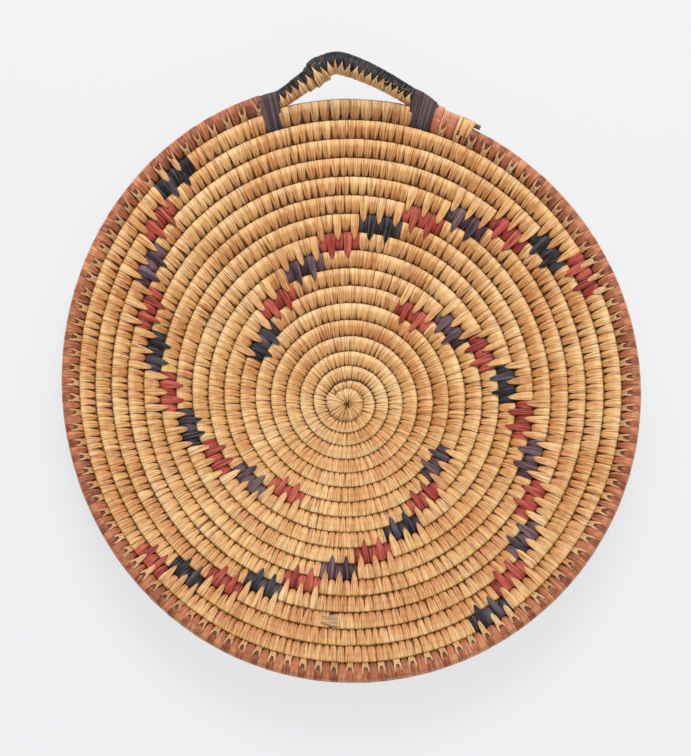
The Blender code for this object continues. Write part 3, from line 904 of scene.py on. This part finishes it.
# Rim. The last row is laced in reddish brown: every other stitch reaches right across the row, and
# those between stop halfway at a dimple, where a split fork of straw comes up from the row inside.
RIM_START = TAIL_START - 1
RIM_TUCK = 0.0006
RED_STITCH, HALF_STITCH = 0.0041, 0.0033
PERIOD = RED_STITCH + HALF_STITCH
STITCH_SHARES = (0.92, 1.08)
RIM_BACK = -158
HALF_STOPS = (86, 95)
HALF_TINTS = (0.3, 0.9)
HALF_LAP = 0.0002
DIMPLE_FLOOR_STOP = 125
DIMPLE_DEPTH = 0.00028
DIMPLE_TINT = 0.8
FORK_DRIFT, STEM_DRIFT = 0.3, 0.3
STEM_STARTS = (104, 110)
STEM_LAY = 0.0001
TONGUE_REACH = 0.5
FORK_DIVES = (-0.02, 0.03)
LONG_PRONG_STARTS, SHORT_PRONG_STARTS = (58, 70), (74, 90)
PRONG_WIDTH = 0.00115
PRONG_SPREADS = (0.85, 1.15)
PRONG_THICK = STRAND * 1.3
PRONG_LAY = 0.00015
PRONG_OFFSET = np.array([1.3, 1.32, 1.28, 1.18, 1.08, 0.98, 0.88, 0.8, 0.74, 0.7, 0.66])
LACED = flat_strand([0.6, 0.85, 1, 1, 1, 1, 1, 0.98, 0.9, 0.78, 0.56])
HALF = flat_strand([0.6, 0.85, 1, 1, 1, 1, 1, 0.98, 0.9, 0.74, 0.5])
STEM = flat_strand([0.4, 0.62, 0.76, 0.82, 0.85, 0.87, 0.89, 0.9, 0.9, 0.88, 0.8])
PRONG = flat_strand([0.12, 0.45, 0.75, 0.95, 1, 1, 1, 1, 1, 1, 0.8])
TONGUE = flat_strand([0.4, 0.62, 0.76, 0.8, 0.8, 0.78, 0.74, 0.66, 0.5, 0.34, 0.12])
RIM_TONES = ((230, 160, 110), (194, 110, 70), (140, 70, 42), (84, 36, 16))
# The floors of the dimples are a darker red than the rim: painted shade in the hollows.
HOLLOW_SHADE_TONES = ((150, 84, 60), (112, 58, 44), (84, 42, 34), (52, 26, 22))
FORK_TONES = ((232, 190, 138), (212, 158, 104), (176, 116, 68), (112, 58, 22))
# The rim's strands are painted paler where they turn outwards, a painted highlight.
RIM_RED = grass("rim_red_grass", RIM_TONES, patches=0.35, browner=0.35, ends=0.8, edge_light=0.6)
RIM_HOLLOW_SHADE = grass("rim_red_grass_painted_hollow_shade", HOLLOW_SHADE_TONES, fibres=0.6, roughness=0.7)
FORK_STRAW = grass("split_straw_forks", FORK_TONES)


def fork_way(first, last, start, front):
    """From an angle on the front of the row down to the row inside."""
    wide, tall = section(first, last)
    _, front_tip = tips(wide, tall, front)
    begin = tuple(outline(math.radians(start), wide, tall))
    upper = [tuple(p) for p in oval(wide, tall) if p[1] > 0 and p[0] < begin[0] - 1e-5]
    chain = sorted([begin] + upper, key=lambda p: -p[0])
    keep = [p for p in chain if p[0] > front_tip[0]] + [tuple(front_tip)]

    def steepness(k):
        return math.atan2(keep[k][1] - front_tip[1], keep[k][0] - front_tip[0])

    leaves = max(range(1, len(keep) - 1), key=steepness)
    return way(keep[:leaves + 1] + [keep[-1]])


full, halves, floors, forks, stems_of_forks, tongues = [], [], [], [], [], []
beside = [(first + 1, last + 1) for first, last in DYED_SPANS if first + 1 > RIM_START]
periods = round((RIM_STOP - RIM_START) / turns_across(PERIOD, (RIM_START + RIM_STOP) / 2))
for start, stop in even_spans(RIM_START, RIM_STOP + turns_across(RIM_TUCK, RIM_STOP), periods):
    left = start + (stop - start) * RED_STITCH / PERIOD * picks.uniform(*STITCH_SHARES)
    full.append(loose(start, left, DIVE))
    over = turns_across(HALF_LAP, left)
    route = round_part(left, stop, RIM_BACK, picks.uniform(*HALF_STOPS))
    halves.append(Stitch(left - over, stop + over, route, tint=picks.uniform(*HALF_TINTS)))
    # Under each dimple lies the floor of the half stitch, in the darker red of painted shade.
    route = round_part(left, stop, RIM_BACK, DIMPLE_FLOOR_STOP)
    floors.append(Stitch(left, stop, route, tint=DIMPLE_TINT, lay=-DIMPLE_DEPTH))
    middle = (left + stop) / 2
    half_prong = turns_across(PRONG_WIDTH, left) / 2
    tint = picks.random()
    drift = either_way(FORK_DRIFT)
    over_block = any(first < middle < last for first, last in beside)
    start = picks.uniform(*STEM_STARTS)
    route = fork_way(left, stop, start, TONGUE_REACH if over_block else picks.uniform(*FORK_DIVES))
    stem = Stitch(left, stop, route, tint=tint, drift=drift * STEM_DRIFT, lay=STEM_LAY)
    (tongues if over_block else stems_of_forks).append(stem)
    longer = picks.choice((-1, 1))
    for side in (-1, 1):
        start = picks.uniform(*(LONG_PRONG_STARTS if side == longer else SHORT_PRONG_STARTS))
        route = fork_way(left, stop, start, picks.uniform(*FORK_DIVES))
        offset = side * PRONG_OFFSET * np.interp(RING_AT, [0, 1], [picks.uniform(*PRONG_SPREADS), 1])
        forks.append(Stitch(middle - half_prong, middle + half_prong, route, tint=tint,
                            thick=PRONG_THICK, drift=drift, offset=offset, lay=PRONG_LAY))
rim = sewn("rim_red_sewing", LACED, full, RIM_RED, "rim_red_grass")
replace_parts(rim, "rim_red_lacing")
sewn("rim_red_half_stitches", HALF, halves, RIM_RED, "rim_red_grass")
sewn("rim_dimples", PLAIN, floors, RIM_HOLLOW_SHADE, "rim_red_grass")
sewn("rim_long_tongues", TONGUE, tongues, FORK_STRAW, "split_grass")
sewn("rim_fork_stems", STEM, stems_of_forks, FORK_STRAW, "split_grass")
rim_forks = sewn("rim_forks", PRONG, forks, FORK_STRAW, "split_grass")
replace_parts(rim_forks, "rim_straw_forks")

# Centre button. The coil starts round a little disc, sewn over from a hole in its middle with
# strands that fan out to its edge; the first row's stitches dive close round it. Bent stems pad it.
BUTTON_STRANDS = 30
BUTTON_HEIGHT = 2 * float(solid_size(0.0)) * HEX_FLAT
BUTTON_LOWER = 0.0002
BUTTON_DOME = 0.0008
BUTTON_THICK = STRAND * 1.3
BUTTON_DRIFT = 0.6
HOLE_RADIUS = 0.0014
HOLE_SHARES = (0.5, 1.5)
PAD_COUNT = 10
PAD_REACH = 0.0008
PAD_SHARES = (0.5, 0.56)
PAD_THICK = 0.0012
PAD_START, PAD_ROUND = 0.0001, 0.0003
TOP_STRAW = grass("split_straw_on_top", STRAW_TONES, patches=0.25, fibres=1.3, roughness=0.46,
                  browner=0.3)
FAN = flat_strand([0.25, 0.6, 0.9, 1, 1, 1, 1, 1, 1, 1, 0.95])
PAD = flat_strand([1.1] * (RINGS + 1))


def button_edge(turn):
    middle, _, _, wide, _ = rows(turn)
    return np.hypot(middle[..., 0], middle[..., 1]) - wide - STRAND


def about_middle(turn):
    """A station whose outward direction starts at the middle of the button."""
    turn = np.asarray(turn, float)
    angle = -2 * np.pi * turn
    zero = np.zeros_like(angle)
    out = heading(angle, 1, zero)
    rise = heading(angle, 0, zero + 1)
    return out * 0, out, rise, zero, zero


fan = []
for first, last in even_spans(FIRST_TURN, FIRST_TURN + 1, BUTTON_STRANDS):
    edge = float(button_edge((first + last) / 2)) - STRAND
    top = BUTTON_HEIGHT - BUTTON_LOWER
    hole = HOLE_RADIUS * picks.uniform(*HOLE_SHARES)
    below = [(0.0006, 0.0006), (edge * 0.5, 0.0004), (edge - 0.0006, 0.0006), (edge, top * 0.45)]
    shoulder = [(edge - 0.0004, top - 0.0006), (edge - 0.0012, top - 0.0001)]
    dome = [(edge * 0.55, top + BUTTON_DOME * 0.7), (hole * 2.4, top + BUTTON_DOME * 0.8)]
    into_hole = [(hole * 1.3, top + BUTTON_DOME * 0.2), (hole, top - 0.0012)]
    fan.append(Stitch(first, last, way(below + shoulder + dome + into_hole),
                      drift=either_way(BUTTON_DRIFT), thick=BUTTON_THICK))
button = sewn("button_sewing", FAN, fan, TOP_STRAW, "split_grass", about_middle)
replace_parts(button, "centre_button")
padding = []
for first, last in even_spans(FIRST_TURN, FIRST_TURN + 1, PAD_COUNT):
    edge = float(button_edge((first + last) / 2)) + PAD_REACH
    top = BUTTON_HEIGHT * picks.uniform(*PAD_SHARES)
    base = top - PAD_THICK
    bent = [(PAD_START, base), (edge, base), (edge + PAD_ROUND, top - PAD_THICK / 2), (edge, top)]
    padding.append(Stitch(first, last, way(bent + [(PAD_START, top)])))
sewn("button_padding", PAD, padding, BUNDLE, "grass_bundle", about_middle)

# Handle. The end of the coil arches off the rim. Black strands go over its outside and straw over
# its inside, and their pointed ends mesh along its front in a row of teeth.
BLACK_STITCH = 0.0023
BLACK_THICK = STRAND * 0.9
BLACK_TINTS = (0.6, 1.0)
BLACK_DRIFTS = (-0.3, 0.1)
LIMB_TOOTH, CROWN_TOOTH = 0.0036, 0.0032
LIMB_VALLEY, CROWN_VALLEY, VALLEY_SPREAD = 100, 118, 3
LIMB_TIP, CROWN_TIP, TIP_SPREAD = 62, 84, 5
TOOTH_THICK = STRAND * 1.2
TOOTH_DRIFT = 0.12
TOOTH_LAY = 0.0001
LIMB_END_PROUD = 0.0010
PROUD_FROM, PROUD_EASE = 0.18, 0.08
PROUD_STOP, PROUD_DROP = 0.345, 0.01
TOOTH = flat_strand([0.06, 0.28, 0.96, 1, 1, 1, 1, 1, 0.96, 0.28, 0.06])


def loop_way(turn, start, stop, grow=0.0, inward=0.0):
    """Round the handle from one angle to another, standing further out on the side of the gap."""
    size = float(handle_size(turn)) - STRAND + grow
    angle = np.radians(np.linspace(start, stop, ARC_POINTS))
    across = size * np.cos(angle) - inward * np.maximum(0, -np.cos(angle))
    return way(np.stack([across, size * np.sin(angle)], -1))


splice_turn = ARCH_START + SPLICE_AT * (ARCH_STOP - ARCH_START)
black = []
for first, last in spread(ARCH_START, ARCH_STOP, BLACK_STITCH):
    middle = (first + last) / 2
    valley = LIMB_VALLEY if middle < splice_turn else CROWN_VALLEY
    valley = valley + either_way(VALLEY_SPREAD)
    black.append(Stitch(first, last, loop_way(middle, -valley, valley), thick=BLACK_THICK,
                        tint=picks.uniform(*BLACK_TINTS), drift=picks.uniform(*BLACK_DRIFTS)))
teeth = []
limb_spans = spread(ARCH_START, splice_turn, LIMB_TOOTH)
for first, last in limb_spans + spread(splice_turn, ARCH_STOP, CROWN_TOOTH):
    middle = (first + last) / 2
    along = float(along_arch(middle))
    tip = (LIMB_TIP if middle < splice_turn else CROWN_TIP) + either_way(TIP_SPREAD)
    swell = smooth(0, 1, (along - PROUD_FROM) / PROUD_EASE) - smooth(0, 1, (along - PROUD_STOP) / PROUD_DROP)
    route = loop_way(middle, tip, 360 - tip, TOOTH_LAY, LIMB_END_PROUD * float(swell))
    teeth.append(Stitch(first, last, route, thick=TOOTH_THICK, lay=TOOTH_LAY,
                        drift=either_way(TOOTH_DRIFT)))
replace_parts(sewn("handle_black_sewing", LACED, black, BLACK, "black_grass", handle), "handle_black_wrap")
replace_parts(sewn("handle_straw_teeth", TOOTH, teeth, TOP_STRAW, "split_grass", handle), "handle_straw_wrap")

# Bindings. Fine dark strands are wound tightly round the foot of the handle and the row inside it,
# side by side, and dive under that row at both ends.
FINE_STRAND = 0.00058
FINE_LAP = 0.00012
FINE_THICK = STRAND * 1.4
FINE_DRIFTS = (-0.5, 0.3)
BINDING_DIVES, BINDING_BACK = (0.02, 0.14), 0.05
ROUND = 2.0
BINDING_TONES = ((122, 99, 101), (74, 59, 62), (44, 34, 37), (14, 9, 10))
BINDING = grass("binding_strands", BINDING_TONES, patches=0.05, gloss=0.25)


def inner_row(turn):
    """Places measured from the row inside the handle, so that a strand can go round both."""
    return rows(np.asarray(turn, float) - 1)


def both_coils(turn, front, back):
    """The way round the handle or the tail and the row inside it."""
    _, _, _, wide, tall = rows(turn - 1)
    own = float(handle_size(turn)) - STRAND
    outer = oval(own, own, ROUND) + np.array([float(handle_reach(turn)), 0])
    outlines = np.concatenate([oval(wide, tall), outer])
    back_tip, front_tip = tips(wide, tall, front, back)
    return pulled_tight(outlines, back_tip, front_tip)


for side, start, stop, width in (("left", RIM_STOP, ARCH_START, LEFT_WIDTH),
                                 ("right", ARCH_STOP, TAIL_START, RIGHT_WIDTH)):
    over = turns_across(FINE_LAP, RIM_END)
    strands = []
    for first, last in even_spans(start, stop, round(width / FINE_STRAND)):
        route = both_coils((first + last) / 2, picks.uniform(*BINDING_DIVES), BINDING_BACK)
        strands.append(Stitch(first - over, last + over, route, thick=FINE_THICK,
                              drift=picks.uniform(*FINE_DRIFTS)))
    binding = sewn(side + "_binding_strands", PLAIN, strands, BINDING, "binding_grass", inner_row)
    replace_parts(binding, side + "_binding")

# Tail. Past the right binding the bundle thins out against the rim under a few red stitches, then
# a few of straw that reach halfway over the rim, and ends in a short dark stub.
TAIL_RED_SHARE = 0.62
TAIL_RED_STITCH, TAIL_STRAW_STITCH = 0.0040, 0.0022
TAIL_DIVE = 0.06
TAIL_RED_DRIFTS, TAIL_STRAW_DRIFTS = (-0.1, 0.2), (-0.5, 0.5)
TAIL_SLIMS = (0.1, 0.5)
TAIL_LAY = 0.0004
HALF_OVER = 9
split = TAIL_START + (TAIL_STOP - TAIL_START) * TAIL_RED_SHARE
tail_red = []
for first, last in spread(TAIL_START, split, TAIL_RED_STITCH):
    route = both_coils((first + last) / 2, TAIL_DIVE, TAIL_DIVE)
    tail_red.append(Stitch(first, last, route, drift=picks.uniform(*TAIL_RED_DRIFTS)))
sewn("tail_red_stitches", PLAIN, tail_red, RIM_RED, "rim_red_grass", inner_row)
tail_straw = []
for first, last in spread(split, TAIL_STOP, TAIL_STRAW_STITCH):
    places, _ = both_coils((first + last) / 2, TAIL_DIVE, TAIL_DIVE)
    drift = picks.uniform(*TAIL_STRAW_DRIFTS)
    slim = picks.uniform(*TAIL_SLIMS)
    tail_straw.append(Stitch(first, last, way(places[:HALF_OVER]), drift=drift, lay=TAIL_LAY, slim=slim))
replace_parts(sewn("tail_straw_wrap", PLAIN, tail_straw, TOP_STRAW, "split_grass", inner_row), "tail_wrap")

# Frayed fibres. Worn ends of the sewing strands stand off the handle near its right foot and at
# its splice, and beside the tail. Each is a fine fibre that leaves the wrap and curls away.
FIBRE_RADIUS = 0.00017
FIBRE_SIDES, FIBRE_CUTS = 4, 9
FIBRE_THINS = 0.7
CURL_LIFTS, CURL_ASIDE = 0.5, 0.6
FIBRE_SHARE = 0.4

# Share of the way along the handle, angle round it in degrees, length, and curl in radians.
FRAYS = [
    (0.78, 98, 0.0065, -1.3), (0.81, 120, 0.0070, 1.1), (0.84, 84, 0.0060, -1.6),
    (0.86, 140, 0.0075, 1.5), (0.88, 105, 0.0065, 0.8), (0.90, 80, 0.0080, -0.9),
    (0.92, 125, 0.0070, 1.3), (0.30, 60, 0.0040, 1.2), (0.33, 75, 0.0050, -1.1),
    (0.36, 55, 0.0040, 1.4), (0.52, 110, 0.0040, -1.2), (1.42, 40, 0.0035, 1.8),
]
bench = bar(FIBRE_SIDES, FIBRE_CUTS)
along, level, upright = bench[0].T
fibres = []
for share, angle, length, curl in FRAYS:
    middle, out, rise, own, _ = handle(ARCH_START + share * (ARCH_STOP - ARCH_START))
    leaves = math.radians(angle)
    up = out * math.cos(leaves) + rise * math.sin(leaves)
    ahead = np.cross(out, rise)
    bend = curl * 2 * along
    run = length * np.sin(bend) / (2 * curl)
    lift = length * (1 - np.cos(bend)) / (2 * abs(curl)) * CURL_LIFTS
    radius = FIBRE_RADIUS * (1 - FIBRE_THINS * along)
    aside = lift * CURL_ASIDE * math.copysign(1, curl) + upright * radius
    fibre = (middle + up * (own + STRAND) + ahead * run[:, None]
             + up * (lift + level * radius)[:, None] + np.cross(ahead, up) * aside[:, None])
    fibres.append((fibre, picks.random()))
thin_rods("frayed_fibres", bench, fibres, FIBRE_SHARE, FORK_STRAW)

# Studio: a pale floor, a pale world, a broad soft lamp from beyond the handle and a weak one from
# the near side, and a camera that looks down on the tray as the photograph does.
TARGET_HEIGHT = 0.0045
DISTANCE = 1.1
ELEVATION = 77.0
IMAGE = (691, 756)
FOCAL_PIXELS = 2282
MIDDLE_OF_COIL = (347.5, 404)
FLOOR_REACH = 3.0
FLOOR_BELOW = 0.0003
PAPER = (0.86, 0.87, 0.89, 1.0)
GLOW_SHARE = 0.82
SKY = (0.94, 0.96, 1.0, 1.0)
SKY_STRENGTH = 0.42

bpy.ops.object.select_all(action="DESELECT")
bpy.ops.mesh.primitive_plane_add(size=2 * FLOOR_REACH, location=(0, 0, -FLOOR_BELOW))
floor = bpy.context.object
floor.name = "floor"
paper = Finish("pale_floor", 0.9)
paper.shader.inputs["Base Color"].default_value = PAPER
seen = paper.node("ShaderNodeLightPath", {}, {}, "Is Camera Ray")
for kind in ("Is Glossy Ray", "Is Transmission Ray"):
    seen = seen + paper.node("ShaderNodeLightPath", {}, {}, kind)
glow = paper.node("ShaderNodeEmission", {}, {"Color": PAPER, "Strength": 1.0})
lit = Value(paper, paper.shader.outputs[0])
sheet = paper.node("ShaderNodeMixShader", {}, {0: seen * GLOW_SHARE, 1: lit, 2: glow})
paper.tree.links.new(sheet.socket, paper.tree.nodes["Material Output"].inputs["Surface"])
floor.data.materials.append(paper.material)

world = bpy.data.worlds.new("studio")
bpy.context.scene.world = world
world.use_nodes = True
sky = world.node_tree.nodes["Background"]
sky.inputs["Color"].default_value = SKY
sky.inputs["Strength"].default_value = SKY_STRENGTH


def lamp(name, place, size, power, tone):
    light = bpy.data.lights.new(name, "AREA")
    light.shape = "RECTANGLE"
    light.size, light.size_y = size
    light.energy = power
    light.color = tone
    made = add_object(name, light)
    made.location = place
    made.rotation_euler = (-made.location).to_track_quat("-Z", "Y").to_euler()


lamp("window", place=(0.05, 1.0, 1.15), size=(1.0, 0.7), power=20, tone=(1.0, 0.975, 0.94))
lamp("fill", place=(0.3, -1.0, 1.3), size=(1.2, 0.8), power=4, tone=(0.95, 0.97, 1.0))

lens = bpy.data.cameras.new("camera")
lens.sensor_width = 36
lens.lens = FOCAL_PIXELS / max(IMAGE) * lens.sensor_width
lens.shift_x = (IMAGE[0] / 2 - MIDDLE_OF_COIL[0]) / max(IMAGE)
lens.shift_y = (MIDDLE_OF_COIL[1] - IMAGE[1] / 2) / max(IMAGE)
camera = add_object("camera", lens)
tip = math.radians(ELEVATION)
camera.location = (0, -DISTANCE * math.cos(tip), TARGET_HEIGHT + DISTANCE * math.sin(tip))
camera.rotation_euler = (math.pi / 2 - tip, 0, 0)
bpy.context.scene.camera = camera
bpy.context.scene.view_settings.view_transform = "Standard"
